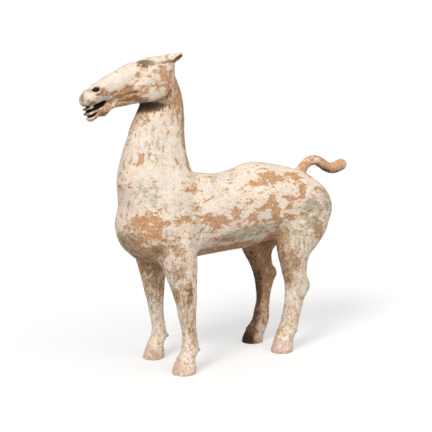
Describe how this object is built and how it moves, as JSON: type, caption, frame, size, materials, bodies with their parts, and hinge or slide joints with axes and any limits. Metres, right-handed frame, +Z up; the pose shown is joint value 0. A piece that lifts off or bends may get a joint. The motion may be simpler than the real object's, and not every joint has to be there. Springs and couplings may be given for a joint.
{
  "type": "painted pottery horse",
  "caption": "Hollow fired clay figure of a standing horse with an open mouth, laid-back ears and an S-shaped tail, in worn cream slip over orange earthenware.",
  "frame": {"origin": "on the ground, under the middle of the horse's length and width", "axes": "+Z up, the horse faces -Y, its left side is +X"},
  "size_m": [0.1376, 0.5216, 0.5027],
  "materials": {
    "painted_earthenware": "matt worn cream slip over orange clay, with burial dirt"
  },
  "bodies": {
    "root": {"pottery_horse": "painted_earthenware"}
  },
  "joints": []
}
